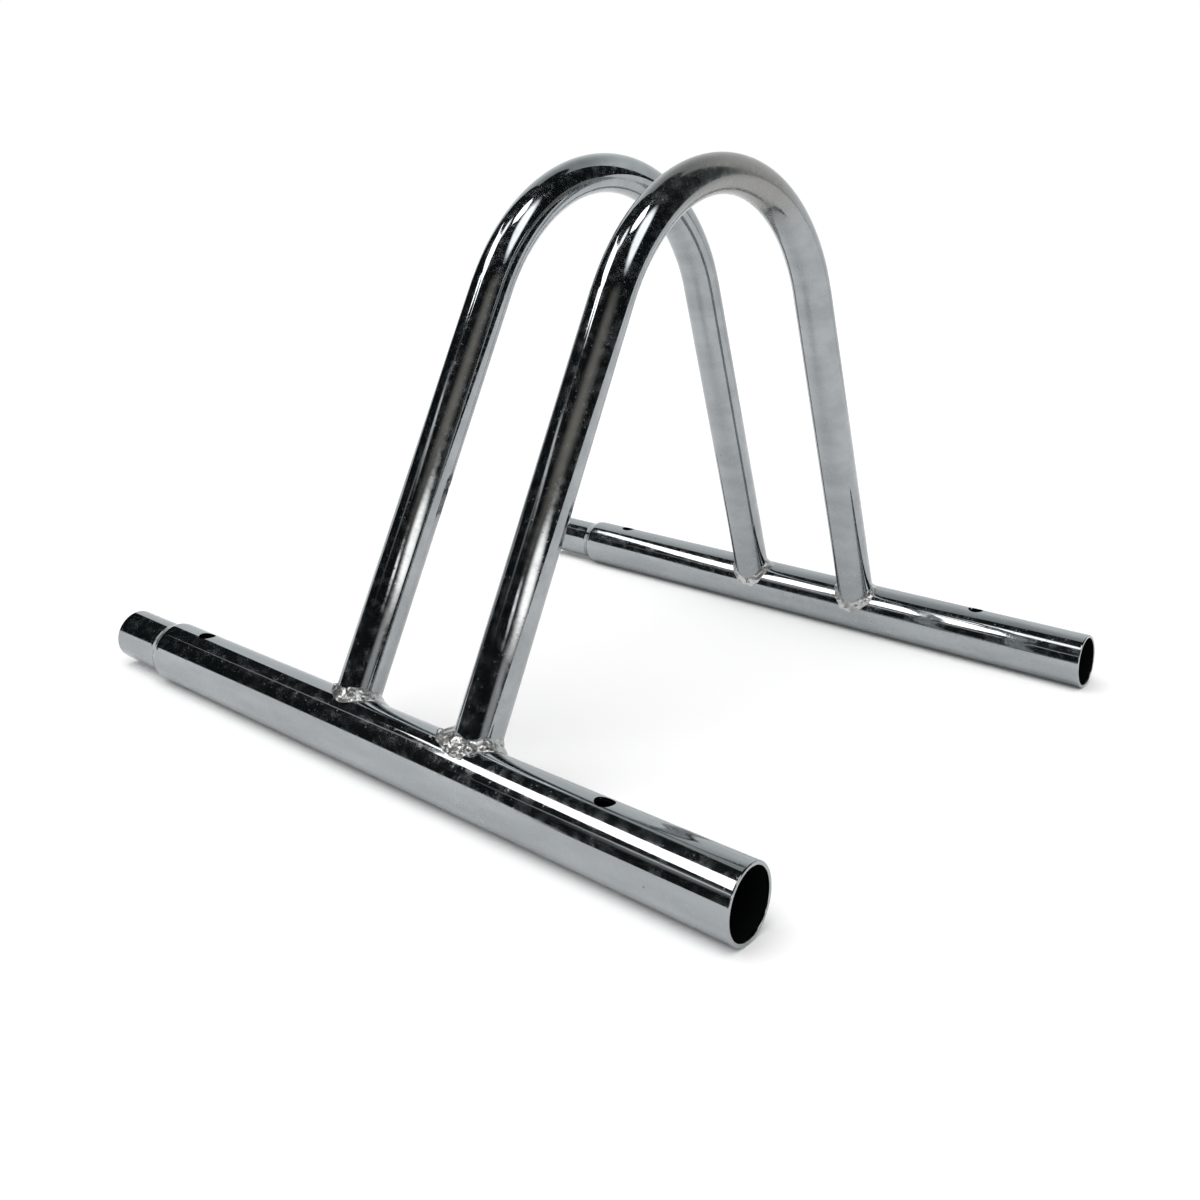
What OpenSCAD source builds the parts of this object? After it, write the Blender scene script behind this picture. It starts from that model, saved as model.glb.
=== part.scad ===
// One place of a modular floor rack for bicycles: two round rails with a
// spigot at the left and a socket at the right, two bent hoops standing across
// them, and four weld beads where the hoops' feet meet the rails.
// X runs along the rails, Y from the front rail to the rear one, Z up. The
// origin is on the floor, under the middle of the rack. Lengths in millimetres.

/* [Rack] */
// Length along the rails, from the spigots' tips to the sockets' mouths
rack_l = 360; // [320:1:480]
// Width across both rails, outside to outside
rack_w = 370; // [340:1:420]
// Height of the hoops' crowns above the floor
rack_h = 270; // [250:1:320]

/* [Rails] */
// Outside diameter of the rails
rail_d = 28; // [26:0.5:34]
// Wall of the rails
rail_wall = 1.5; // [1:0.1:2.5]
// Outside diameter of the reduced end that plugs into the next rack
spigot_d = 23.5; // [21:0.1:24]
// Length of the reduced end, from its tip to the root of the shoulder
spigot_l = 34; // [20:0.5:40]
// Length over which the shoulder grows to the full diameter
shoulder_l = 5; // [4:0.5:14]
// Hollow radius at the root of the shoulder
root_r = 1.2; // [0.3:0.1:1.5]
// Rounding of the outer edges at both ends of a rail
lip_r = 0.5; // [0.2:0.05:0.8]
// Break of the inner edges at both ends of a rail
burr_r = 0.3; // [0.1:0.05:0.5]

/* [Hoops] */
// Outside diameter of the hoops
hoop_d = 20; // [16:0.5:22]
// Wall of the hoops
hoop_wall = 1.5; // [1:0.1:2.5]
// Distance between the middles of the two hoops
hoop_pitch = 70; // [55:1:90]
// How far the middle between the hoops lies from the rack's middle, towards the sockets
hoops_shift = 16; // [0:1:30]
// Radius of the bend, to the middle of the tube
bend_r = 97; // [85:1:105]
// How far inside the rails' middles the legs are aimed
foot_inset = 2; // [0:0.5:3]

/* [Anchor holes] */
// Diameter of the holes down through the rails
hole_d = 8; // [5:0.5:9]
// Distance between the two holes of one rail
hole_pitch = 240; // [200:1:260]

/* [Weld beads] */
// Radius of the bead, seen in section
bead_r = 3.8; // [3:0.1:5]
// Share of its radius by which the bead's middle stands out of the corner
bead_out_share = 0.2; // [0:0.05:0.4]
// Share by which the bead's radius swells and shrinks round the foot
swell_share = 0.14; // [0:0.01:0.2]
// Share by which the bead's ripples stand out
ripple_share = 0.06; // [0:0.01:0.1]
// Number of ripples round a foot
ripples = 15; // [9:1:19]

/* [Hidden] */

// Overrun of the cutting shapes past what they cut
over = 1;

// Rails
rail_r = rail_d / 2;
bore_r = rail_r - rail_wall;
spigot_r = spigot_d / 2;
spigot_bore_r = spigot_r - rail_wall;
rail_y = rack_w / 2 - rail_r;
tip_x = -rack_l / 2;
mouth_x = rack_l / 2;
root_x = tip_x + spigot_l;
full_x = root_x + shoulder_l;

// Hoops: the legs are tangents to the bend, aimed at a point at the height of
// the rails' middles
hoop_r = hoop_d / 2;
hoop_bore_r = hoop_r - hoop_wall;
left_x = hoops_shift - hoop_pitch / 2;
right_x = hoops_shift + hoop_pitch / 2;
foot_y = rail_y - foot_inset;
bend_z = rack_h - hoop_r - bend_r;
bend_rise = bend_z - rail_r;
// Bending draws the tube down by a hair against the straight legs, which run
// a little way into the bend
draw = 0.05;
leg_r = hoop_r + draw;
leg_run = 1;
lean = acos(bend_r / norm([foot_y, bend_rise])) - atan2(bend_rise, foot_y);
leg_l = norm([foot_y - bend_r * cos(lean), bend_rise + bend_r * sin(lean)]);

// Weld beads: rings round a foot, and sides round the bead
rings = 60;
sides = 10;
// Angle from one weld to the next in the pattern of its swells
swell_step = 77;

// Surface detail of the curved solids
$fn = 96;

// Points of an arc round a centre, from one angle to another
function arc(centre, r, from, to, steps = 6) =
    [for (i = [0 : steps]) let (a = from + (to - from) * i / steps)
        centre + r * [cos(a), sin(a)]];

// Points of the shoulder, a quarter of an ellipse that ends at the full radius
function shoulder(low_r, high_r, from_x, to_x, steps = 10) =
    [for (i = [0 : steps]) let (a = 90 * i / steps)
        [low_r + (high_r - low_r) * sin(a), to_x - (to_x - from_x) * cos(a)]];

// Half section of a rail: radius across, place along the rail up
module rail_section() {
    polygon(concat(
        arc([spigot_r - lip_r, tip_x + lip_r], lip_r, -90, 0),
        arc([spigot_r + root_r, root_x - root_r], root_r, 180, 90),
        shoulder(spigot_r + root_r, rail_r, root_x, full_x),
        arc([rail_r - lip_r, mouth_x - lip_r], lip_r, 0, 90),
        arc([bore_r + burr_r, mouth_x - burr_r], burr_r, 90, 180),
        [[bore_r, full_x], [spigot_bore_r, root_x]],
        arc([spigot_bore_r + burr_r, tip_x + burr_r], burr_r, 180, 270)
    ));
}

// A rail lying on the floor at the given place across the rack
module rail(y) {
    difference() {
        translate([0, y, rail_r])
            rotate([0, 90, 0])
                rotate_extrude()
                    rail_section();
        for (x = [-hole_pitch / 2, hole_pitch / 2])
            translate([x, y, -over])
                cylinder(d = hole_d, h = rail_d + 2 * over);
    }
}

// Solid rods in the place of the rails, to cut the feet and the welds to them
module rail_rods() {
    for (y = [-rail_y, rail_y])
        translate([tip_x, y, rail_r])
            rotate([0, 90, 0])
                cylinder(r = rail_r, h = rack_l);
}

// The bend of a hoop as a rod of the given radius, in the plane of X and Y
module bend_rod(r) {
    reach = bend_r + 2 * hoop_r;
    intersection() {
        rotate_extrude()
            translate([bend_r, 0])
                circle(r = r);
        linear_extrude(2 * hoop_d, center = true)
            polygon([
                [0, 0],
                reach * [cos(lean), sin(lean)],
                reach * [cos(lean), 2],
                reach * [-cos(lean), 2],
                reach * [-cos(lean), sin(lean)]
            ]);
    }
}

// A leg as a rod of the given radius, from the point that it is aimed at up
module leg_rod(side, r) {
    translate([0, side * foot_y, rail_r])
        rotate([side * lean, 0, 0])
            cylinder(r = r, h = leg_l + leg_run);
}

// The bend and both legs of a hoop as a rod of the given radius, standing in
// the plane of Y and Z
module hoop_rod(r) {
    translate([0, 0, bend_z])
        rotate([90, 0, 90])
            bend_rod(r);
    for (side = [-1, 1])
        leg_rod(side, r + draw);
}

// A hoop at the given place along the rack, its feet cut to the rails
module hoop(x) {
    difference() {
        translate([x, 0, 0])
            hoop_rod(hoop_r);
        translate([x, 0, 0])
            hoop_rod(hoop_bore_r);
        rail_rods();
    }
}

// The rear foot's corner, seen from the point that its leg is aimed at: t is
// the angle round the leg, and 0 looks along the rails
function leg_out(t) = [cos(t), sin(t) * cos(lean), sin(t) * sin(lean)];
function corner_rise(t) =
    let (across = leg_r * sin(t), k = foot_inset * sin(lean))
    sqrt(k * k + rail_r * rail_r - across * across
         + 2 * foot_inset * across * cos(lean) - foot_inset * foot_inset) - k;
function corner(t) = leg_r * leg_out(t) + corner_rise(t) * [0, -sin(lean), cos(lean)];
function rail_out(t) = let (p = corner(t)) [0, p.y - foot_inset, p.z] / rail_r;
function unit(v) = v / norm(v);

// Radius of the bead at an angle round the leg, for a weld of the given number
function bead(t, n) =
    bead_r * (1 + swell_share * (sin(2 * t + swell_step * n) + sin(5 * t - swell_step * n)) / 2
                + ripple_share * sin(ripples * t));

// One ring of points round the bead
function bead_ring(t, n) =
    let (
        out = unit(leg_out(t) + rail_out(t)),
        up = unit(cross(out, cross(leg_out(t), rail_out(t)))),
        middle = corner(t) + bead_out_share * bead_r * out
    )
    [for (j = [0 : sides - 1]) let (a = 360 * j / sides)
        middle + bead(t, n) * (cos(a) * out + sin(a) * up)];

// The lumpy bead round the rear foot, standing on the point that the leg is
// aimed at, before the leg and the rail are cut out of it
module bead_loop(n) {
    points = [for (i = [0 : rings - 1]) each bead_ring(360 * i / rings, n)];
    faces = [for (i = [0 : rings - 1], j = [0 : sides - 1])
        let (
            i2 = (i + 1) % rings,
            j2 = (j + 1) % sides,
            a = i * sides + j,
            b = i2 * sides + j,
            c = i2 * sides + j2,
            d = i * sides + j2
        )
        each [[a, b, c], [a, c, d]]];
    polyhedron(points, faces, convexity = 4);
}

// A weld at the given place along the rack: side is -1 at the front, 1 at the
// rear, and n tells the four welds apart
module weld(x, side, n) {
    difference() {
        mirror([0, side < 0 ? 1 : 0, 0])
            translate([x, foot_y, rail_r])
                bead_loop(n);
        translate([x, 0, 0])
            leg_rod(side, leg_r);
        rail_rods();
    }
}

module front_rail() {
    color([0.66, 0.69, 0.71])
        rail(-rail_y);
}

module rear_rail() {
    color([0.66, 0.69, 0.71])
        rail(rail_y);
}

module left_hoop() {
    color([0.6, 0.64, 0.67])
        hoop(left_x);
}

module right_hoop() {
    color([0.6, 0.64, 0.67])
        hoop(right_x);
}

module front_left_weld() {
    color([0.75, 0.76, 0.76])
        weld(left_x, -1, 0);
}

module front_right_weld() {
    color([0.75, 0.76, 0.76])
        weld(right_x, -1, 1);
}

module rear_left_weld() {
    color([0.75, 0.76, 0.76])
        weld(left_x, 1, 2);
}

module rear_right_weld() {
    color([0.75, 0.76, 0.76])
        weld(right_x, 1, 3);
}

front_rail();
rear_rail();
left_hoop();
right_hoop();
front_left_weld();
front_right_weld();
rear_left_weld();
rear_right_weld();
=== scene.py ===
"""Looks of one place of a modular floor rack for bicycles.

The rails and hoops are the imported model's own tubes, with plated steel on them. The four weld beads are
modelled here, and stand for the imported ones. Lengths are in metres. X runs along the rails, from the
spigots to the sockets, Y from the front rail to the rear one, and Z up from the floor.
"""

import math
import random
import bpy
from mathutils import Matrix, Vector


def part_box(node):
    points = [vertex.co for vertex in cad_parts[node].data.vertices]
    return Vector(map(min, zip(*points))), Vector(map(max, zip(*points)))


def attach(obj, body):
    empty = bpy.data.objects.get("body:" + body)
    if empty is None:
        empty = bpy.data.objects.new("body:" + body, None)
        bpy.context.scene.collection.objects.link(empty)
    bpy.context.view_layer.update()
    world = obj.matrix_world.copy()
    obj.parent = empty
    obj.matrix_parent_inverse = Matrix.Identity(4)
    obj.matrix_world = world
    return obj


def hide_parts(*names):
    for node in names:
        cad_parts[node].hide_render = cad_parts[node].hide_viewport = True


bl_info = {
    "name": "Modular bike rack",
    "version": (1, 0, 0),
    "blender": (4, 5, 0),
    "location": "View3D > Sidebar > Bike rack",
    "description": "Plates the tubes and welds of a floor rack and lights them in a studio",
    "category": "Object",
}

import bmesh
import bpy
from mathutils import Matrix, Vector, noise

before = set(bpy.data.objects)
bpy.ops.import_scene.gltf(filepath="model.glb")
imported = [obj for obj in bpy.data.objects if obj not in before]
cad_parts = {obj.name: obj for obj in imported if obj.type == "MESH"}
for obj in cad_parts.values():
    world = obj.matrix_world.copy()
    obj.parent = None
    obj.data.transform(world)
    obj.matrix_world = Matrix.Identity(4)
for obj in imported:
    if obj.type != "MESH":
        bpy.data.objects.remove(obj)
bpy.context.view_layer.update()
MM = 0.001

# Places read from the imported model
FRONT_LOW, FRONT_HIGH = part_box("front_rail")
LEFT_LOW, LEFT_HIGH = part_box("left_hoop")
RIGHT_LOW, RIGHT_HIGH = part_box("right_hoop")
RAIL_R = (FRONT_HIGH.z - FRONT_LOW.z) / 2
RAIL_Y = abs(FRONT_LOW.y + FRONT_HIGH.y) / 2
TIP_X, MOUTH_X = FRONT_LOW.x, FRONT_HIGH.x
HOOP_R = (LEFT_HIGH.x - LEFT_LOW.x) / 2
HOOP_X = {"left": (LEFT_LOW.x + LEFT_HIGH.x) / 2, "right": (RIGHT_LOW.x + RIGHT_HIGH.x) / 2}
CROWN_Z = LEFT_HIGH.z

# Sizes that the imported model's boxes can't tell
SPIGOT_L = 34 * MM
SHOULDER_L = 5 * MM
SPIGOT_WALL_MIDDLE_R = 11 * MM
RAIL_WALL_MIDDLE_R = 13.25 * MM
BEND_R = 97 * MM
FOOT_INSET = 2 * MM
BEND_Z = CROWN_Z - HOOP_R - BEND_R
FOOT_Y = RAIL_Y - FOOT_INSET
LEAN = math.acos(BEND_R / math.hypot(FOOT_Y, BEND_Z - RAIL_R)) - math.atan2(BEND_Z - RAIL_R, FOOT_Y)
LEG_AXIS = Vector((0, -math.sin(LEAN), math.cos(LEAN)))


class Value:
    """What comes out of a node, with Python's own arithmetic for numbers."""

    def __init__(self, tree, socket):
        self.tree = tree
        self.socket = socket

    def other(self, output):
        """Another output of the same node."""
        return Value(self.tree, self.socket.node.outputs[output])

    def maths(self, operation, *values):
        """A Math node on numbers, some of which come out of nodes."""
        node = self.tree.nodes.new("ShaderNodeMath")
        node.operation = operation
        for socket, value in zip(node.inputs, values):
            if isinstance(value, Value):
                self.tree.links.new(value.socket, socket)
            else:
                socket.default_value = value
        return Value(self.tree, node.outputs[0])

    def __add__(self, other):
        return self.maths("ADD", self, other)

    def __radd__(self, other):
        return self.maths("ADD", other, self)

    def __sub__(self, other):
        return self.maths("SUBTRACT", self, other)

    def __rsub__(self, other):
        return self.maths("SUBTRACT", other, self)

    def __mul__(self, other):
        return self.maths("MULTIPLY", self, other)

    def __rmul__(self, other):
        return self.maths("MULTIPLY", other, self)

    def __truediv__(self, other):
        return self.maths("DIVIDE", self, other)

    def __rtruediv__(self, other):
        return self.maths("DIVIDE", other, self)

    def __abs__(self):
        return self.maths("ABSOLUTE", self)

    def __lt__(self, other):
        return self.maths("LESS_THAN", self, other)

    def __gt__(self, other):
        return self.maths("GREATER_THAN", self, other)

    def root(self):
        return self.maths("SQRT", self)

    def sign(self):
        return self.maths("SIGN", self)

    def angle_from(self, other):
        return self.maths("ARCTAN2", self, other)

    def least(self, other):
        return self.maths("MINIMUM", self, other)

    def most(self, other):
        return self.maths("MAXIMUM", self, other)


class Nodes:
    """The nodes of a material or of the world."""

    def __init__(self, owner):
        owner.use_nodes = True
        self.owner = owner
        self.tree = owner.node_tree
        self.tree.nodes.clear()

    def node(self, kind, settings, sockets, output=0):
        """A node of any kind: its settings, what goes into its sockets, and which output is wanted."""
        node = self.tree.nodes.new(kind)
        for name, value in settings.items():
            setattr(node, name, value)
        for name, value in sockets.items():
            if isinstance(value, Value):
                self.tree.links.new(value.socket, node.inputs[name])
            else:
                node.inputs[name].default_value = value
        return Value(self.tree, node.outputs[output]) if node.outputs else None


class Finish(Nodes):
    """One material, with the patterns and shaders that it is made of."""

    def __init__(self, name):
        super().__init__(bpy.data.materials.new(name))
        self.place = self.node("ShaderNodeTexCoord", {}, {}, "Object")
        self.x = self.node("ShaderNodeSeparateXYZ", {}, {0: self.place})
        self.y, self.z = self.x.other("Y"), self.x.other("Z")

    def reach(self, direction):
        """How far a place lies from the middle of the rack in a direction."""
        return self.x * direction.x + self.y * direction.y + self.z * direction.z

    def vector(self, x, y, z):
        """A direction, place or colour from three numbers."""
        return self.node("ShaderNodeCombineXYZ", {}, {"X": x, "Y": y, "Z": z})

    def noise(self, vector, scale, detail, roughness):
        """Cloudy noise between 0 and 1, with its scale in waves per metre."""
        return self.node("ShaderNodeTexNoise", {},
                         {"Vector": vector, "Scale": scale, "Detail": detail, "Roughness": roughness})

    def spots(self, vector, scale, size, share):
        """Round spots on a share of the cells of a pattern: 1 in their middle, 0 from their edge on."""
        distance = self.node("ShaderNodeTexVoronoi", {}, {"Vector": vector, "Scale": scale}, "Distance")
        chosen = self.node("ShaderNodeSeparateColor", {}, {0: distance.other("Color")}) < share
        return self.ramp(distance, size, 0.0) * chosen

    def ramp(self, value, low, high, to_low=0.0, to_high=1.0):
        """A smooth step from to_low to to_high as the value goes from low to high."""
        return self.node("ShaderNodeMapRange", {"interpolation_type": "SMOOTHSTEP"},
                         {"Value": value, "From Min": low, "From Max": high,
                          "To Min": to_low, "To Max": to_high})

    def mix(self, share, first, second):
        """A colour between two others. A Mix node's sockets share their names, so they go by number."""
        return self.node("ShaderNodeMix", {"data_type": "RGBA"}, {0: share, 6: first, 7: second}, 2)

    def between(self, share, first, second):
        """A direction between two others."""
        return self.node("ShaderNodeMix", {"data_type": "VECTOR"}, {0: share, 4: first, 5: second}, 1)

    def bump(self, height, distance, normal=None):
        """The normal of a surface that stands out by the height times the distance."""
        sockets = {"Height": height, "Distance": distance}
        if normal is not None:
            sockets["Normal"] = normal
        return self.node("ShaderNodeBump", {}, sockets)

    def metal(self, colour, roughness, normal):
        """The shader of a metal."""
        return self.node("ShaderNodeBsdfPrincipled", {}, {
            "Base Color": colour, "Metallic": 1.0, "Roughness": roughness, "Normal": normal}, "BSDF")

    def surface(self, shader):
        """Puts a shader on the material's surface, and gives back the material."""
        self.node("ShaderNodeOutputMaterial", {}, {"Surface": shader})
        return self.owner


def rgb(colour, share=1.0):
    """A colour as a socket takes it, at a share of its lightness."""
    return (*(channel * share for channel in colour[:3]), 1.0)


# Colours, roughness and heights in the finish of the steel and the welds
STAIN = (0.222, 0.2, 0.177, 1.0)
# Near black painted on the rails' inner walls, as painted shade inside the tubes
INNER_SHADE_PAINT = (0.004, 0.0045, 0.0045, 1.0)
WELD_BROWN = (0.42, 0.405, 0.39)
MILK_ROUGHNESS = 0.38
DENT_HEIGHT = 0.02 * MM
SPECK_HEIGHT = 0.006 * MM
WELD_GRAIN_HEIGHT = 0.04 * MM
# Frosting of the rails beside each hoop: how far its middle lies to the right of the hoop, its reach to each
# side and its share, and then the reach of the middle where it is full
RAIL_FROSTS = {"right": (12 * MM, 34 * MM, 1.0), "left": (6 * MM, 26 * MM, 0.5)}
FROST_CORE = 4 * MM
# Frosting of the hoops' feet: the heights where it starts and is full, and its share
FOOT_FROST_Z = (75 * MM, 30 * MM)
FOOT_FROST_SHARE = 0.7
# Stain on the right hoop's crown: where it starts and is full, upwards, from the front and from the rear
STAIN_Z = (205 * MM, 258 * MM)
STAIN_FRONT_Y = (-75 * MM, -25 * MM)
STAIN_REAR_Y = (72 * MM, 18 * MM)
# How deep in a rail's ends the painted shade on the inner wall starts and is full
MOUTH_DARK = (0.3 * MM, 1.6 * MM)
# The soft slope of a rail's shoulder, from the rail's tip: where it starts, is steepest and ends
SLOPE_START = SPIGOT_L - 5 * MM
SLOPE_STEEPEST = SPIGOT_L - 0.5 * MM
SLOPE_END = SPIGOT_L + SHOULDER_L - 1.5 * MM


def plated_steel(name, colour, haze, cloud, along, burnt, straight, stained=None, inner_shade=None):
    """Bright plating on a drawn tube: a mirror with a cloudy haze, fine scratches, specks and pits.

    along is the place along the tube, burnt the share of frosting that the welding left, straight the
    direction out of the tube, stained the share of a warm stain, and the last one the share of the tube's
    inner wall that is painted near black as shade.
    """
    steel = Finish(name)
    run = along(steel)
    clouds = steel.noise(steel.place, 210.0, 5.0, 0.58)
    grit = steel.noise(steel.place, 900.0, 4.0, 0.6)
    drift = steel.noise(steel.vector(run * 16.0, steel.y * 70.0, steel.z * 70.0), 1.0, 3.0, 0.6)
    across = steel.vector(run * 2400.0, steel.y * 150.0 + steel.x * 60.0, steel.z * 150.0)
    scratches = steel.ramp(steel.noise(across, 1.0, 3.0, 0.7), 0.58, 0.8)
    specks = steel.spots(steel.place, 420.0, 0.26, 0.38)
    pits = steel.spots(steel.place, 95.0, 0.06, 0.12)
    milky = steel.ramp(clouds, 0.45, 0.67)
    shade = steel.mix(steel.ramp(drift, 0.3, 0.72), rgb(colour, 0.86), rgb(colour, 1.06))
    shade = steel.mix(pits, shade, rgb(colour, 0.2))
    frost = steel.ramp(0.17 * burnt(steel) + 0.68 * clouds + 0.32 * grit, 0.62, 0.92)
    rough = haze + 0.05 * milky + 0.04 * scratches + 0.06 * frost
    share = cloud * (0.15 + 1.2 * milky + 0.25 * scratches) + 0.5 * specks + 0.3 * frost
    if stained is not None:
        stain = stained(steel) * steel.ramp(clouds + drift, 0.7, 1.2, 0.6, 1.0)
        shade = steel.mix(stain, shade, STAIN)
        rough = rough + 0.1 * stain
        share = share + 0.25 * stain
    dents = steel.noise(steel.place, 130.0, 2.0, 0.5)
    normal = steel.bump(dents, DENT_HEIGHT, straight(steel))
    normal = steel.bump(specks - scratches * 0.4 - pits * 4.0, SPECK_HEIGHT, normal)
    mirror = steel.metal(shade, rough.least(0.9), normal)
    milk = steel.metal(rgb(colour, 1.25), MILK_ROUGHNESS, normal)
    plating = steel.node("ShaderNodeMixShader", {}, {0: share.least(0.95), 1: mirror, 2: milk})
    if inner_shade is None:
        return steel.surface(plating)
    # The tube's inner wall is painted near black: painted shade inside the tube
    inner_shade_paint = steel.node("ShaderNodeBsdfDiffuse", {}, {"Color": INNER_SHADE_PAINT})
    return steel.surface(steel.node("ShaderNodeMixShader", {}, {0: inner_shade(steel), 1: plating, 2: inner_shade_paint}))


def rail_along(steel):
    """The place along a rail."""
    return steel.x


def hoop_along(steel):
    """The place along a hoop's middle: on the bend an arc, on the legs a straight line."""
    side = abs(steel.y)
    leg = (steel.z - BEND_Z) * math.cos(LEAN) - side * math.sin(LEAN)
    bend = ((steel.z - BEND_Z).angle_from(side) - LEAN) * BEND_R
    on_leg = leg < 0.0
    return leg * on_leg + bend * (1.0 - on_leg)


def straight_out(middle_x):
    """Makes the function that finds the direction straight out of the middle line of a hoop."""

    def direction(steel):
        side, rise = abs(steel.y), steel.z - BEND_Z
        on_leg = rise * math.cos(LEAN) - side * math.sin(LEAN) < 0.0
        reach = (side * side + rise * rise).root()
        out_y = on_leg * math.cos(LEAN) + (1.0 - on_leg) * side / reach
        out_z = on_leg * math.sin(LEAN) + (1.0 - on_leg) * rise / reach
        away = side * out_y + rise * out_z - BEND_R
        loose = steel.vector(steel.x - middle_x, away * out_y * steel.y.sign(), away * out_z)
        return steel.node("ShaderNodeVectorMath", {"operation": "NORMALIZE"}, {0: loose})

    return direction


def rail_inner_shade(steel):
    """1 where a rail's inner wall is painted near black as shade, 0 outside."""
    out_y, out_z = abs(steel.y) - RAIL_Y, steel.z - RAIL_R
    radius = (out_y * out_y + out_z * out_z).root()
    root_x = TIP_X + SPIGOT_L
    wall = steel.node("ShaderNodeMapRange", {}, {
        "Value": steel.x, "From Min": root_x, "From Max": root_x + SHOULDER_L,
        "To Min": SPIGOT_WALL_MIDDLE_R, "To Max": RAIL_WALL_MIDDLE_R})
    depth = (MOUTH_X - steel.x).least(steel.x - TIP_X)
    return (radius < wall) * steel.ramp(depth, *MOUTH_DARK)


def out_of_rail(steel):
    """The direction out of a rail, with the soft hollow and round of its drawn shoulder."""
    run = steel.x - TIP_X
    slope = steel.ramp(run, SLOPE_START, SLOPE_STEEPEST) * steel.ramp(run, SLOPE_END, SLOPE_STEEPEST)
    out_y = steel.y - steel.y.sign() * RAIL_Y
    out_z = steel.z - RAIL_R
    radius = (out_y * out_y + out_z * out_z).root()
    drawn = steel.node("ShaderNodeVectorMath", {"operation": "NORMALIZE"},
                       {0: steel.vector(slope * -1.0, out_y / radius, out_z / radius)})
    own = steel.node("ShaderNodeNewGeometry", {}, {}, "Normal")
    return steel.between(slope > 0.0, own, drawn)


def burnt_rail(steel):
    """The frosted places of a rail, beside the welds."""
    burnt = 0.0
    for hand, (beside, reach, share) in RAIL_FROSTS.items():
        burnt = burnt + share * steel.ramp(abs(steel.x - HOOP_X[hand] - beside), reach, FROST_CORE)
    return burnt


def burnt_foot(steel):
    """The frosted feet of a hoop, above the welds."""
    return FOOT_FROST_SHARE * steel.ramp(steel.z, *FOOT_FROST_Z)


def crown_stain(steel):
    """The warm stain that heat left on the crown of the right hoop."""
    return (steel.ramp(steel.z, *STAIN_Z) * steel.ramp(steel.y, *STAIN_FRONT_Y)
            * steel.ramp(steel.y, *STAIN_REAR_Y))


def weld_metal(name, colour, haze):
    """Plated weld: bright, uneven and pitted, browner where the metal ran."""
    weld = Finish(name)
    clouds = weld.noise(weld.place, 420.0, 4.0, 0.6)
    blots = weld.noise(weld.place, 150.0, 3.0, 0.6)
    craters = weld.spots(weld.place, 420.0, 0.28, 0.09)
    shade = weld.mix(weld.ramp(blots, 0.45, 0.65), rgb(colour), rgb(WELD_BROWN))
    shade = weld.mix(craters * 0.3, shade, rgb(colour, 0.3))
    normal = weld.bump(clouds, WELD_GRAIN_HEIGHT)
    normal = weld.bump(craters * -1.0, WELD_GRAIN_HEIGHT, normal)
    return weld.surface(weld.metal(shade, haze + 0.2 * weld.ramp(blots, 0.4, 0.7), normal))


# Section of a weld: how full its face is, what a ripple adds to that, how far the face is rounded out, and
# how deep its edges, its back and its corner lie in the tubes
FACE_FULLNESS = 0.42
RIPPLE_FULLNESS = 0.05
FACE_ROUND = 0.1 * MM
EDGE_DEPTH = 0.25 * MM
BACK_DEPTH = 1.2 * MM
CORNER_DEPTH = 0.9 * MM
# Share of its height by which the middle of a drop is sunk
DROP_SINK_SHARE = 0.3
# Small lumps on a weld: the height and the number of the finer ones, as shares of the coarser ones'
FINE_HEIGHT_SHARE = 0.35
FINE_NUMBER_SHARE = 2.3


def leg_out(turn):
    """Outwards from the rear foot's leg, at an angle round it: 0 looks along the rails."""
    return Vector((math.cos(turn), math.sin(turn) * math.cos(LEAN), math.sin(turn) * math.sin(LEAN)))


def corner(turn):
    """The corner between the rear foot's leg and the rail, from the point that the leg is aimed at."""
    across = HOOP_R * math.sin(turn)
    tilt = FOOT_INSET * math.sin(LEAN)
    rise = math.sqrt(tilt ** 2 + RAIL_R ** 2 - across ** 2 + 2 * FOOT_INSET * across * math.cos(LEAN)
                     - FOOT_INSET ** 2) - tilt
    return HOOP_R * leg_out(turn) + rise * LEG_AXIS


def corner_axes(turn):
    """The corner at an angle, and the directions off leg and rail, up the leg and out along the rail."""
    place, off_leg = corner(turn), leg_out(turn)
    off_rail = Vector((0, place.y - FOOT_INSET, place.z)) / RAIL_R
    run = off_leg.cross(off_rail).normalized()
    up, away = off_leg.cross(run), run.cross(off_rail)
    up = up if up.z > 0 else -up
    away = away if away.dot(off_leg) > 0 else -away
    return place, off_leg, off_rail, up, away


def leg_fall(up, reach):
    """How far a leg's skin falls away behind its tangent at a reach up from the corner."""
    return reach ** 2 * (1 - up.dot(LEG_AXIS) ** 2) / (2 * HOOP_R)


def rail_fall(away, reach):
    """How far a rail's skin falls away behind its tangent at a reach out from the corner."""
    return reach ** 2 * (1 - away.x ** 2) / (2 * RAIL_R)


def fillet_section(turn, leg_reach, rail_reach, fullness):
    """Points round a weld's section: its face from leg to rail, and its back sunk into the tubes."""
    place, off_leg, off_rail, up, away = corner_axes(turn)
    round_out = (off_leg + off_rail) * FACE_ROUND
    on_leg = place + up * leg_reach - off_leg * (EDGE_DEPTH + leg_fall(up, leg_reach))
    on_rail = place + away * rail_reach - off_rail * (EDGE_DEPTH + rail_fall(away, rail_reach))
    face = place + (up * leg_reach + away * rail_reach) * fullness
    return [on_leg, (on_leg + face) / 2 + round_out, face, (on_rail + face) / 2 + round_out, on_rail,
            place + away * rail_reach / 2 - off_rail * BACK_DEPTH,
            place - (off_leg + off_rail) * CORNER_DEPTH,
            place + up * leg_reach / 2 - off_leg * BACK_DEPTH]


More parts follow.
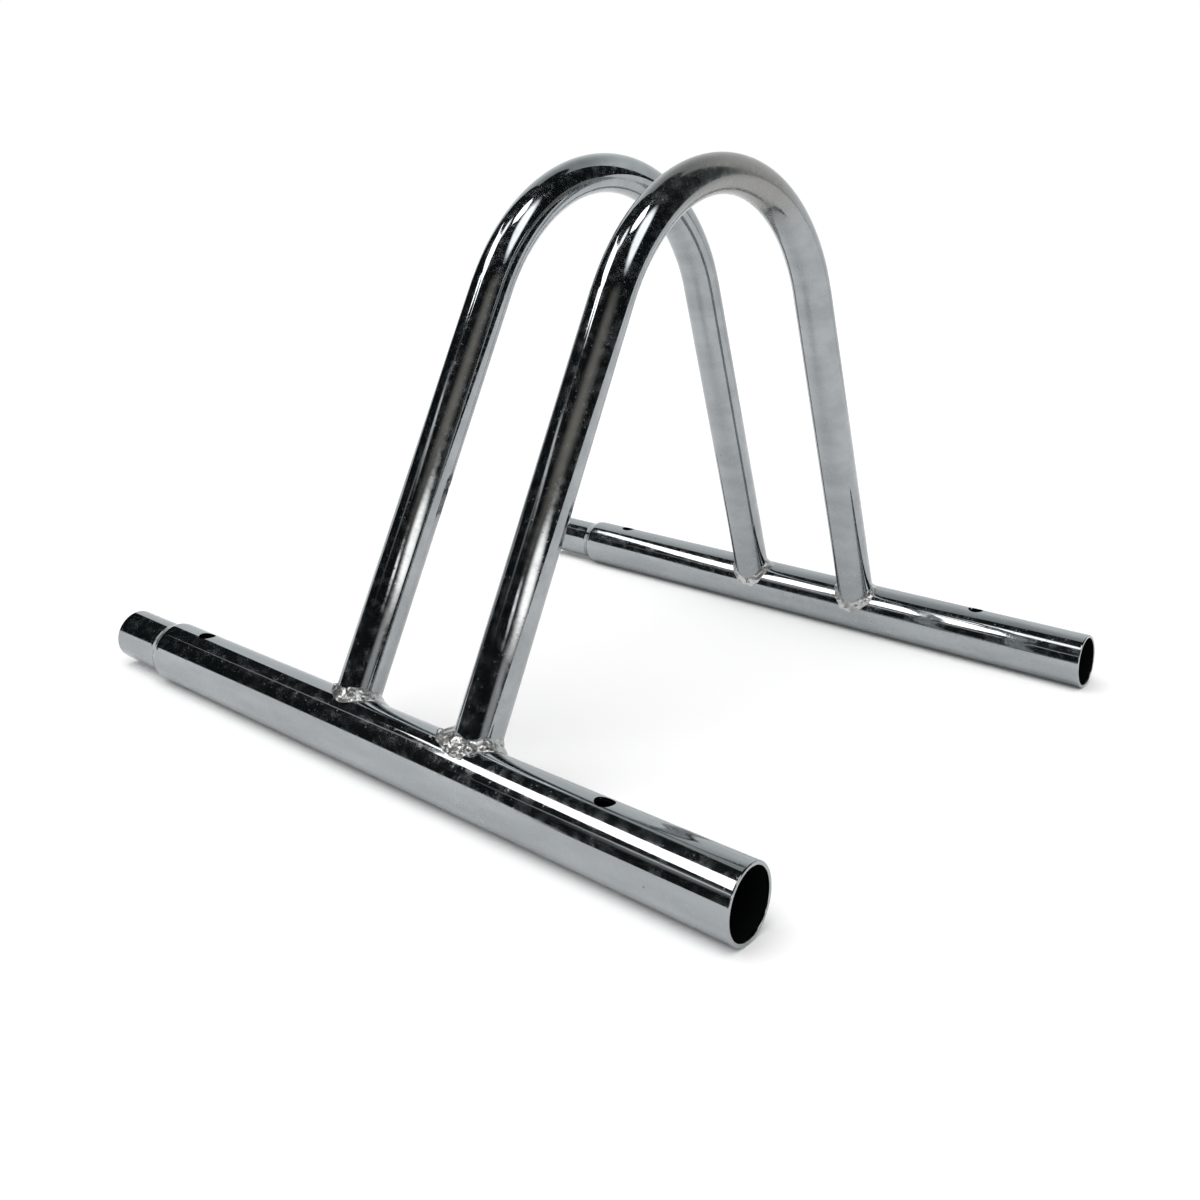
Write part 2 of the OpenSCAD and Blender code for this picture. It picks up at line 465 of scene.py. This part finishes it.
def run_bead(bm, name, side, sizes, swells):
    """Runs a fillet round a foot, which swells here and there.

    A swell has an angle round the leg, a width in degrees, and what it adds to the reach up the leg, to the
    reach along the rail and to the fullness.
    """
    draws = random.Random(name)
    phases = [draws.uniform(0, math.tau) for _ in range(3)]
    size = sizes.bead_rear_share if side > 0 else 1.0
    first = previous = None
    for step in range(sizes.bead_rings):
        turn = math.tau * step / sizes.bead_rings
        waves = (math.sin(2 * turn + phases[0]) + math.sin(5 * turn + phases[1])) / 2
        ripple = math.sin(sizes.bead_ripples * turn + phases[2] + math.sin(3 * turn))
        leg_reach = size * sizes.bead_up * (1 + sizes.bead_swell * waves)
        rail_reach = size * sizes.bead_out * (1 - sizes.bead_swell * waves)
        fullness = FACE_FULLNESS + RIPPLE_FULLNESS * ripple
        for angle, width, more_up, more_out, more_full in swells:
            off = (math.degrees(turn) - angle + 180) % 360 - 180
            share = math.exp(-(off / width) ** 2)
            leg_reach += more_up * MM * share
            rail_reach += more_out * MM * share
            fullness += more_full * share
        points = fillet_section(turn, leg_reach, rail_reach, fullness)
        ring = bmesh.ops.create_circle(bm, segments=len(points), radius=1.0)["verts"]
        edges = list({edge for vert in ring for edge in vert.link_edges})
        for vert, point in zip(ring, points):
            vert.co = point
        if previous:
            bmesh.ops.bridge_loops(bm, edges=previous + edges)
        first, previous = first or edges, edges
    bmesh.ops.bridge_loops(bm, edges=previous + first)


def add_drops(bm, drops):
    """Sets drops of metal on and beside a bead.

    A drop has an angle round the leg, its distance up the leg and out along the rail, its radius and its
    flatness.
    """
    for angle, *lengths, flat in drops:
        up_by, out_by, radius = (length * MM for length in lengths)
        place, off_leg, off_rail, up, away = corner_axes(math.radians(angle))
        normal, run, sink = off_rail, away, rail_fall(away, out_by)
        if up_by > out_by:
            normal, run, sink = off_leg, up, leg_fall(up, up_by)
        turned = Matrix((normal, run, normal.cross(run))).transposed().to_4x4()
        middle = place + up * up_by + away * out_by - normal * (DROP_SINK_SHARE * radius * flat + sink)
        bmesh.ops.create_icosphere(
            bm, subdivisions=3, radius=radius,
            matrix=Matrix.Translation(middle) @ turned @ Matrix.Diagonal((flat, 1.0, 1.0, 1.0)))


def weld_bead(name, x, side, sizes, swells, drops):
    """A weld bead round a foot, made at the rear foot and mirrored for the front one."""
    bm = bmesh.new()
    run_bead(bm, name, side, sizes, swells)
    add_drops(bm, drops)
    bmesh.ops.recalc_face_normals(bm, faces=bm.faces)
    bmesh.ops.scale(bm, vec=(1, side, 1), verts=bm.verts)
    bmesh.ops.translate(bm, vec=(x, side * FOOT_Y, RAIL_R), verts=bm.verts)
    bmesh.ops.recalc_face_normals(bm, faces=bm.faces)
    return melted(name, bm, sizes)


def melted(name, bm, sizes):
    """Melts the shapes of a mesh into one skin, smooths it and roughens it a little."""
    raw = bpy.data.meshes.new(name + "_raw")
    bm.to_mesh(raw)
    bm.free()
    shape = bpy.data.objects.new(name + "_raw", raw)
    bpy.context.scene.collection.objects.link(shape)
    skin = shape.modifiers.new("Melt", "REMESH")
    skin.mode = "VOXEL"
    skin.voxel_size = sizes.bead_grain
    skin.use_smooth_shade = True
    melted_mesh = bpy.data.meshes.new_from_object(
        shape.evaluated_get(bpy.context.evaluated_depsgraph_get()))
    bpy.data.objects.remove(shape)
    bpy.data.meshes.remove(raw)
    bm = bmesh.new()
    bm.from_mesh(melted_mesh)
    for _ in range(sizes.bead_smoothing):
        bmesh.ops.smooth_vert(bm, verts=bm.verts, factor=0.5, use_axis_x=True, use_axis_y=True,
                              use_axis_z=True)
    bm.normal_update()
    moves = [vert.normal * sizes.bead_unevenness
             * (noise.noise(vert.co / sizes.bead_lump_size)
                + FINE_HEIGHT_SHARE * noise.noise(vert.co / sizes.bead_lump_size * FINE_NUMBER_SHARE))
             for vert in bm.verts]
    for vert, move in zip(bm.verts, moves):
        vert.co += move
    bm.to_mesh(melted_mesh)
    bm.free()
    for polygon in melted_mesh.polygons:
        polygon.use_smooth = True
    melted_mesh.name = name
    return bpy.data.objects.new(name, melted_mesh)


def put_on(piece, node, material):
    """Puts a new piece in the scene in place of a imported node."""
    bpy.context.scene.collection.objects.link(piece)
    piece.data.materials.append(material)
    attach(piece, "root")
    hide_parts(node)


def dress(node, material):
    """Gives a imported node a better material."""
    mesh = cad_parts[node].data
    if not mesh.materials:
        mesh.materials.append(material)
    for index in range(len(mesh.materials)):
        mesh.materials[index] = material


class RackFinish(bpy.types.PropertyGroup):
    """Colours and finish of the plated steel"""

    colour: bpy.props.FloatVectorProperty(
        name="Steel", description="Colour of the plating", subtype="COLOR", size=3,
        default=(0.385, 0.408, 0.42), min=0, max=1)
    weld_colour: bpy.props.FloatVectorProperty(
        name="Weld", description="Colour of the weld beads", subtype="COLOR", size=3,
        default=(0.66, 0.67, 0.66), min=0, max=1)
    rail_share: bpy.props.FloatProperty(
        name="Rails", description="Lightness of the rails' plating, as a share of the hoops'",
        subtype="FACTOR", default=1.07)
    haze: bpy.props.FloatProperty(
        name="Haze", description="Least roughness of the plating", subtype="FACTOR", default=0.045,
        min=0, max=1)
    cloud: bpy.props.FloatProperty(
        name="Cloud", description="Share of milky plating over the bright one", subtype="FACTOR",
        default=0.11, min=0, max=1)
    weld_haze: bpy.props.FloatProperty(
        name="Weld haze", description="Least roughness of the weld beads", subtype="FACTOR", default=0.3,
        min=0, max=1)


class RackWelds(bpy.types.PropertyGroup):
    """Sizes of the weld beads"""

    bead_up: bpy.props.FloatProperty(
        name="Up the leg", description="How far the bead reaches up the leg", unit="LENGTH",
        default=3.4 * MM)
    bead_out: bpy.props.FloatProperty(
        name="Out along the rail", description="How far the bead reaches out along the rail", unit="LENGTH",
        default=3.2 * MM)
    bead_rear_share: bpy.props.FloatProperty(
        name="Rear share", description="Size of the rear beads, as a share of the front ones",
        subtype="FACTOR", default=0.75)
    bead_swell: bpy.props.FloatProperty(
        name="Swell", description="Share by which the bead swells and shrinks", subtype="FACTOR",
        default=0.2)
    bead_rings: bpy.props.IntProperty(
        name="Rings", description="Rings of points round a foot", default=72)
    bead_ripples: bpy.props.IntProperty(
        name="Ripples", description="Ripples round a foot", default=13)
    bead_grain: bpy.props.FloatProperty(
        name="Grain", description="Size of the grid that melts the bead into one", unit="LENGTH",
        default=0.3 * MM)
    bead_smoothing: bpy.props.IntProperty(
        name="Smoothing", description="Times that the melted skin is smoothed", default=6)
    bead_unevenness: bpy.props.FloatProperty(
        name="Unevenness", description="Height of the small lumps", unit="LENGTH", default=0.4 * MM)
    bead_lump_size: bpy.props.FloatProperty(
        name="Lump size", description="Width of the small lumps", unit="LENGTH", default=3.0 * MM)


class RackStudio(bpy.types.PropertyGroup):
    """Floor, lamp, reflected cards and camera"""

    floor_half: bpy.props.FloatProperty(
        name="Floor", description="Half the floor's width", unit="LENGTH", default=9.0)
    floor_colour: bpy.props.FloatProperty(
        name="Floor shade", description="Lightness of the floor", subtype="FACTOR", default=0.9)
    floor_lift: bpy.props.FloatProperty(
        name="Floor lift", description="Light that only the camera sees on the floor", default=0.045)
    ambient: bpy.props.FloatProperty(
        name="Ambient", description="Light from all round", default=0.5)
    lamp_strength: bpy.props.FloatProperty(
        name="Lamp", description="Strength of the broad soft lamp in front", default=2.1)
    lamp_breadth: bpy.props.FloatProperty(
        name="Lamp breadth", description="Width of the lamp as the rack sees it", unit="ROTATION",
        default=math.radians(60))
    dark: bpy.props.FloatProperty(
        name="Dark", description="Brightness of the dark studio walls in the steel", default=0.0095)
    backdrop: bpy.props.FloatProperty(
        name="Backdrop", description="Brightness of the backdrop's foot in the steel", default=0.84)
    backdrop_top: bpy.props.FloatProperty(
        name="Backdrop's top", description="Brightness of the backdrop's top in the steel", default=0.38)
    softbox: bpy.props.FloatProperty(
        name="Softboxes", description="Share of the softboxes' brightness in the steel", default=1.0)
    lens_mm: bpy.props.FloatProperty(
        name="Lens", description="Focal length on a sensor of 36 millimetres", default=37.537)
    camera_x: bpy.props.FloatProperty(
        name="Camera X", description="Place of the camera along the rails", unit="LENGTH", default=0.3736)
    camera_y: bpy.props.FloatProperty(
        name="Camera Y", description="Place of the camera across the rails", unit="LENGTH", default=-0.5201)
    camera_z: bpy.props.FloatProperty(
        name="Camera Z", description="Height of the camera", unit="LENGTH", default=0.2286)
    turn: bpy.props.FloatProperty(
        name="Turn", description="Turn of the camera to the left", unit="ROTATION",
        default=math.radians(41.405))
    tilt: bpy.props.FloatProperty(
        name="Tilt", description="Tilt of the camera downwards", unit="ROTATION",
        default=math.radians(4.575))
    roll: bpy.props.FloatProperty(
        name="Roll", description="Roll of the camera", unit="ROTATION", default=math.radians(-2.405))
    shift_x: bpy.props.FloatProperty(
        name="Shift X", description="Shift of the lens to the side, in shares of the picture",
        default=0.075)
    shift_y: bpy.props.FloatProperty(
        name="Shift Y", description="Shift of the lens upwards, in shares of the picture", default=-0.225)


class RACK_OT_rails(bpy.types.Operator):
    """Plate the two rails: bright outside, and painted near black inside as shade"""

    bl_idname = "rack.rails"
    bl_label = "Rails"

    def execute(self, context):
        finish = context.scene.rack_finish
        steel = plated_steel(
            "rail_plating", rgb(finish.colour, finish.rail_share), finish.haze, finish.cloud, rail_along,
            burnt_rail, out_of_rail, inner_shade=rail_inner_shade)
        dress("front_rail", steel)
        dress("rear_rail", steel)
        return {"FINISHED"}


class RACK_OT_hoops(bpy.types.Operator):
    """Plate the two hoops; the right one is stained at its crown"""

    bl_idname = "rack.hoops"
    bl_label = "Hoops"

    def execute(self, context):
        finish = context.scene.rack_finish
        for hand, stained in (("left", None), ("right", crown_stain)):
            steel = plated_steel(
                f"{hand}_hoop_plating", finish.colour, finish.haze, finish.cloud, hoop_along, burnt_foot,
                straight_out(HOOP_X[hand]), stained)
            dress(f"{hand}_hoop", steel)
        return {"FINISHED"}


# Swells and drops of each weld, as run_bead and add_drops take them, with their lengths in millimetres
WELD_SWELLS = {
    "front_left": [(60, 30, 1.4, 1.0, 0.05), (-10, 22, 0.6, 5.5, -0.05), (150, 35, -1.0, -1.4, 0),
                   (230, 40, -0.8, -1.0, 0)],
    "front_right": [(95, 40, 0.6, 3.0, 0.1), (150, 25, 0, 3.5, 0), (20, 25, 0.8, 1.5, 0.03),
                    (-20, 20, 2.5, 2.0, -0.04)],
    "rear_left": [(300, 35, 0, 1.2, 0.06), (10, 20, 0.5, 2.5, -0.04)],
    "rear_right": [(270, 40, 0.4, 1.6, 0.08), (330, 25, 0.6, 1.0, 0.04)],
}
WELD_DROPS = {
    "front_left": [(55, 1.2, 1.0, 2.6, 0.7), (85, 1.0, 1.5, 2.0, 0.6), (30, 0.8, 1.6, 1.9, 0.7),
                   (133, 1.5, 0.8, 1.3, 0.9), (5, 0.4, 2.5, 1.5, 0.6)],
    "front_right": [(60, 1.4, 3.0, 2.6, 0.7), (85, 1.0, 4.2, 2.4, 0.6), (110, 0.8, 3.2, 2.6, 0.7),
                    (130, 0.6, 4.6, 2.0, 0.7), (35, 1.0, 1.8, 2.2, 0.8), (10, 1.4, 1.4, 2.0, 0.8),
                    (150, 1.0, 5.4, 1.5, 0.9), (73, 0.4, 5.8, 1.3, 0.8), (140, 0.2, 8.5, 1.0, 0.8),
                    (-15, 2.4, 0.8, 1.6, 0.8)],
    "rear_left": [(280, 0.8, 1.6, 1.9, 0.7), (305, 1.0, 1.4, 1.7, 0.7), (240, 0.8, 1.0, 1.5, 0.8),
                  (0, 0.6, 2.2, 1.4, 0.7)],
    "rear_right": [(265, 0.8, 1.8, 2.1, 0.7), (295, 1.2, 1.2, 1.8, 0.7), (235, 0.8, 1.4, 1.7, 0.8),
                   (325, 1.2, 1.4, 1.6, 0.8), (355, 0.6, 1.6, 1.3, 0.7)],
}


class RACK_OT_welds(bpy.types.Operator):
    """Run a lumpy weld bead round each of the four feet"""

    bl_idname = "rack.welds"
    bl_label = "Weld beads"

    def execute(self, context):
        finish, sizes = context.scene.rack_finish, context.scene.rack_welds
        metal = weld_metal("weld_bead", finish.weld_colour, finish.weld_haze)
        for end, side in (("front", -1), ("rear", 1)):
            for hand in ("left", "right"):
                piece = weld_bead(f"{end}_{hand}_bead", HOOP_X[hand], side, sizes,
                                  WELD_SWELLS[f"{end}_{hand}"], WELD_DROPS[f"{end}_{hand}"])
                put_on(piece, f"{end}_{hand}_weld", metal)
        return {"FINISHED"}


def sky_place(azimuth, height, distance):
    """The point seen from the rack in a direction: azimuth 0 is +X, 90 is +Y."""
    turn, rise = math.radians(azimuth), math.radians(height)
    return Vector((math.cos(rise) * math.cos(turn), math.cos(rise) * math.sin(turn),
                   math.sin(rise))) * distance


def glow(name, colour, strength):
    """A material that shines by itself."""
    light = Finish(name)
    return light.surface(light.node("ShaderNodeEmission", {}, {"Color": rgb(colour), "Strength": strength}))


def stage_piece(name, bm, material, seen=False):
    """Puts a piece of the stage in the scene. One that isn't seen shows in the steel alone."""
    mesh = bpy.data.meshes.new(name)
    bm.to_mesh(mesh)
    bm.free()
    mesh.materials.append(material)
    piece = bpy.data.objects.new(name, mesh)
    bpy.context.scene.collection.objects.link(piece)
    if not seen:
        piece.visible_camera = False
        piece.visible_diffuse = False
        piece.visible_shadow = False
        piece.visible_transmission = False
        piece.visible_volume_scatter = False


def card(name, corners, distance, material):
    """A flat card, given the directions of its corners."""
    bm = bmesh.new()
    verts = [bm.verts.new(sky_place(azimuth, height, distance)) for azimuth, height in corners]
    bmesh.ops.contextual_create(bm, geom=verts)
    stage_piece(name, bm, material)


def curved_card(name, from_azimuth, to_azimuth, low, high, distance, material):
    """A card that curves round the rack."""
    bm = bmesh.new()
    rows, columns = 12, 24
    verts = [bm.verts.new(sky_place(from_azimuth, low + (high - low) * row / rows, distance))
             for row in range(rows + 1)]
    edges = [bm.edges.new(pair) for pair in zip(verts, verts[1:])]
    bmesh.ops.spin(bm, geom=verts + edges, cent=(0, 0, 0), axis=(0, 0, 1),
                   angle=math.radians(to_azimuth - from_azimuth), steps=columns, use_merge=False)
    stage_piece(name, bm, material)


# Brightness of a softbox's cloth, where a white wall is 1
CLOTH = 4.0
# Softboxes as the steel shows them: their distance, their brightness and the directions of their corners
SOFTBOXES = {
    "softbox_above": (3.0, CLOTH, [(-32, 72), (-55, 69.5), (-90, 69), (-108, 72), (-112, 80), (-60, 85),
                                   (-34, 80)]),
    "softbox_left": (1.5, CLOTH, [(-112, 38), (-122, 40), (-132, 41.5), (-143, 43), (-150, 47.5),
                                  (-157, 50), (-168, 49), (-168, 50.6), (-157, 52), (-148, 54.5),
                                  (-138, 57), (-124, 60), (-113, 54), (-109, 46)]),
    "slit": (3.0, 0.4, [(-163.4, 34), (-151, 48), (-156, 50), (-164.2, 34.4)]),
}
# The softbox with a grid, which lights the rear rail alone: its distance, how far back its light starts to
# land, and the directions of its corners
GRID_BOX_R = 1.48
GRID_EDGE_Y = 0.1
GRID_BOX = [(-165.4, 47.8), (-158, 46.5), (-151, 45), (-146, 42.8), (-141, 40), (-135.4, 37), (-129.4, 35),
            (-124, 38), (-132, 46.4), (-144.5, 51.4), (-156, 53.3), (-167.4, 52.6), (-180, 50.8)]
# Soft patches of light on the walls: azimuth, height, half width, half height and rise towards higher
# azimuths in degrees, brightness, the share of the patch that is bright all over, and how much warmer than
# white it is
GLOWS = ((-24, 12.3, 32, 4.2, -24, 2.4, 0.3, 0.03), (-65, 22, 11, 1.5, -14, 2.0, 0.2, 0),
         (-42, 27, 42, 11, -12, 0.26, 0.1, 0.1), (-30, 12, 30, 5, -22, 0.15, 0.1, 0.1),
         (-116, 29, 18, 2.0, 0, 0.8, 0.3, 0), (-120, 27, 7, 9, 0, 0.25, 0.2, 0),
         (-129, 62, 8, 7, 0, 3.0, 0.4, 0), (-134, 1, 13, 10, -6, 1.0, 0.8, 0),
         (-12, 51, 15, 22, 12, 2.6, 0.55, 0), (-30, 7.6, 25, 4.6, -24, 0.5, 0.3, 0))
# The dark walls: their distance, and their red as a share of their green and blue
WALLS_R = 7.0
WALLS_RED_SHARE = 0.75
# The backdrop and its low end: their tint, each one's first and last azimuth, foot and top, their
# distances, the height from which the backdrop fades towards its top, and the brightness of its end
PAPER = (0.97, 1, 1)
BACKDROP = (57, 165, -2, 72)
BACKDROP_END = (159, 190, -2, 10)
BACKDROP_R = 1.6
BACKDROP_END_R = BACKDROP_R * 1.02
BACKDROP_FADE_Z = 1.0
BACKDROP_END_GLOW = 0.72
# The lamp's azimuth, height and distance
LAMP = (-88, 62, 2.0)
# How far the floor lies below the rails
FLOOR_GAP = 0.1 * MM
# Width of the camera's sensor, in the millimetres that Blender takes
SENSOR_MM = 36.0


class RACK_OT_stage(bpy.types.Operator):
    """Set up the floor, the lamp, what the steel reflects, and the camera"""

    bl_idname = "rack.stage"
    bl_label = "Studio"

    def execute(self, context):
        studio = context.scene.rack_studio
        self.floor(studio)
        self.world(context, studio)
        self.lamp(context, studio)
        self.cards(studio)
        self.camera(context, studio)
        return {"FINISHED"}

    def floor(self, studio):
        """A pale floor that the camera sees white, where no shadow falls."""
        paint = Finish("pale_floor")
        camera = paint.node("ShaderNodeLightPath", {}, {}, "Is Camera Ray")
        white = studio.floor_colour + (1 - studio.floor_colour) * camera
        matt = paint.node("ShaderNodeBsdfDiffuse", {}, {"Color": paint.vector(white, white, white)})
        lift = paint.node("ShaderNodeEmission", {}, {"Strength": camera * studio.floor_lift})
        bm = bmesh.new()
        bmesh.ops.create_grid(bm, x_segments=1, y_segments=1, size=studio.floor_half)
        bmesh.ops.translate(bm, vec=(0, 0, -FLOOR_GAP), verts=bm.verts)
        stage_piece("floor", bm, paint.surface(paint.node("ShaderNodeAddShader", {}, {0: matt, 1: lift})),
                    seen=True)

    def world(self, context, studio):
        """White to the camera, and a softer light from all round on the floor."""
        context.scene.world = bpy.data.worlds.new("studio")
        sky = Nodes(context.scene.world)
        camera = sky.node("ShaderNodeLightPath", {}, {}, "Is Camera Ray")
        seen = camera.most(camera.other("Is Glossy Ray")).most(camera.other("Is Transmission Ray"))
        strength = studio.ambient + (1 - studio.ambient) * seen
        light = sky.node("ShaderNodeBackground", {}, {"Color": (1, 1, 1, 1), "Strength": strength})
        sky.node("ShaderNodeOutputWorld", {}, {"Surface": light})

    def lamp(self, context, studio):
        """A broad soft lamp high in front, which the steel doesn't mirror."""
        light = bpy.data.lights.new("front_lamp", "SUN")
        light.energy = studio.lamp_strength
        light.angle = studio.lamp_breadth
        lamp = bpy.data.objects.new("front_lamp", light)
        lamp.location = sky_place(*LAMP)
        lamp.rotation_euler = (-lamp.location).to_track_quat("-Z", "Y").to_euler()
        lamp.visible_glossy = False
        lamp.visible_camera = False
        context.scene.collection.objects.link(lamp)

    def cards(self, studio):
        """What the steel mirrors: dark walls, a pale backdrop behind and to the left, and softboxes."""
        bm = bmesh.new()
        bmesh.ops.create_uvsphere(bm, u_segments=48, v_segments=24, radius=WALLS_R)
        stage_piece("dark_walls", bm, self.walls(studio))
        paper = Finish("backdrop_paper")
        grey = paper.ramp(paper.z, BACKDROP_FADE_Z, BACKDROP_R, studio.backdrop, studio.backdrop_top)
        tinted = paper.vector(*(grey * tint for tint in PAPER))
        curved_card("backdrop", *BACKDROP, BACKDROP_R,
                    paper.surface(paper.node("ShaderNodeEmission", {}, {"Color": tinted})))
        curved_card("backdrop_end", *BACKDROP_END, BACKDROP_END_R,
                    glow("backdrop_end_paper", PAPER, BACKDROP_END_GLOW))
        card("grid_box", GRID_BOX, GRID_BOX_R, self.gridded(studio))
        for name, (distance, strength, corners) in SOFTBOXES.items():
            card(name, corners, distance, glow(name + "_cloth", (1, 1, 1), strength * studio.softbox))

    def gridded(self, studio):
        """A cloth with a grid on it, whose light lands on the rear rail alone."""
        cloth = Finish("gridded_cloth")
        ray = cloth.node("ShaderNodeNewGeometry", {}, {}, "Incoming")
        across, down = (cloth.node("ShaderNodeSeparateXYZ", {}, {0: ray}, axis) for axis in "YZ")
        landing = cloth.y + (RAIL_R - cloth.z) * across / down
        clear = cloth.node("ShaderNodeBsdfTransparent", {}, {})
        shine = cloth.node("ShaderNodeEmission", {},
                           {"Color": (1, 1, 1, 1), "Strength": CLOTH * studio.softbox})
        return cloth.surface(cloth.node("ShaderNodeMixShader", {},
                                        {0: landing > GRID_EDGE_Y, 1: clear, 2: shine}))

    def walls(self, studio):
        """Dark walls, with soft patches of light on them."""
        wall = Finish("dark_wall")
        light = warm = 0.0
        for azimuth, height, half_width, half_height, slope, strength, core, warmth in GLOWS:
            middle = sky_place(azimuth, height, 1.0)
            tilt = Matrix.Rotation(math.radians(slope), 3, middle)
            up = tilt @ sky_place(azimuth, height + 90, 1.0)
            right = up.cross(middle)
            across = wall.reach(right) / (WALLS_R * math.sin(math.radians(half_width)))
            rise = wall.reach(up) / (WALLS_R * math.sin(math.radians(half_height)))
            edge = (across * across + rise * rise).root()
            patch = (wall.reach(middle) > 0.0) * wall.ramp(edge, core, 1.0, strength, 0.0)
            light, warm = light + patch, warm + patch * warmth
        lit = wall.vector(light + warm + studio.dark * WALLS_RED_SHARE, light + studio.dark,
                          light - warm + studio.dark)
        return wall.surface(wall.node("ShaderNodeEmission", {}, {"Color": lit}))

    def camera(self, context, studio):
        """The photograph's camera, with its lens shifted."""
        camera = bpy.data.cameras.new("camera")
        camera.lens, camera.sensor_width = studio.lens_mm, SENSOR_MM
        camera.shift_x, camera.shift_y = studio.shift_x, studio.shift_y
        camera.clip_start, camera.clip_end = 0.01, 100.0
        view = (Matrix.Rotation(studio.turn, 4, "Z") @ Matrix.Rotation(math.pi / 2 - studio.tilt, 4, "X")
                @ Matrix.Rotation(-studio.roll, 4, "Z"))
        seat = bpy.data.objects.new("camera", camera)
        seat.matrix_world = Matrix.Translation((studio.camera_x, studio.camera_y, studio.camera_z)) @ view
        context.scene.collection.objects.link(seat)
        context.scene.camera = seat
        context.scene.view_settings.view_transform = "Standard"


OPERATORS = (RACK_OT_rails, RACK_OT_hoops, RACK_OT_welds, RACK_OT_stage)


class RACK_PT_panel(bpy.types.Panel):
    """The buttons that make the rack's pieces and its stage, and their settings"""

    bl_idname = "RACK_PT_panel"
    bl_label = "Bike rack"
    bl_space_type = "VIEW_3D"
    bl_region_type = "UI"
    bl_category = "Bike rack"

    def draw(self, context):
        for operator in OPERATORS:
            self.layout.operator(operator.bl_idname)
        for group in ("rack_finish", "rack_welds", "rack_studio"):
            box = self.layout.box()
            settings = getattr(context.scene, group)
            for name in settings.__annotations__:
                box.prop(settings, name)


CLASSES = (RackFinish, RackWelds, RackStudio, *OPERATORS, RACK_PT_panel)


def register():
    for cls in CLASSES:
        bpy.utils.register_class(cls)
    bpy.types.Scene.rack_finish = bpy.props.PointerProperty(type=RackFinish)
    bpy.types.Scene.rack_welds = bpy.props.PointerProperty(type=RackWelds)
    bpy.types.Scene.rack_studio = bpy.props.PointerProperty(type=RackStudio)


def unregister():
    del bpy.types.Scene.rack_finish
    del bpy.types.Scene.rack_welds
    del bpy.types.Scene.rack_studio
    for cls in reversed(CLASSES):
        bpy.utils.unregister_class(cls)


def main():
    register()
    bpy.ops.rack.stage()
    bpy.ops.rack.rails()
    bpy.ops.rack.hoops()
    bpy.ops.rack.welds()


if __name__ == "__main__":
    main()
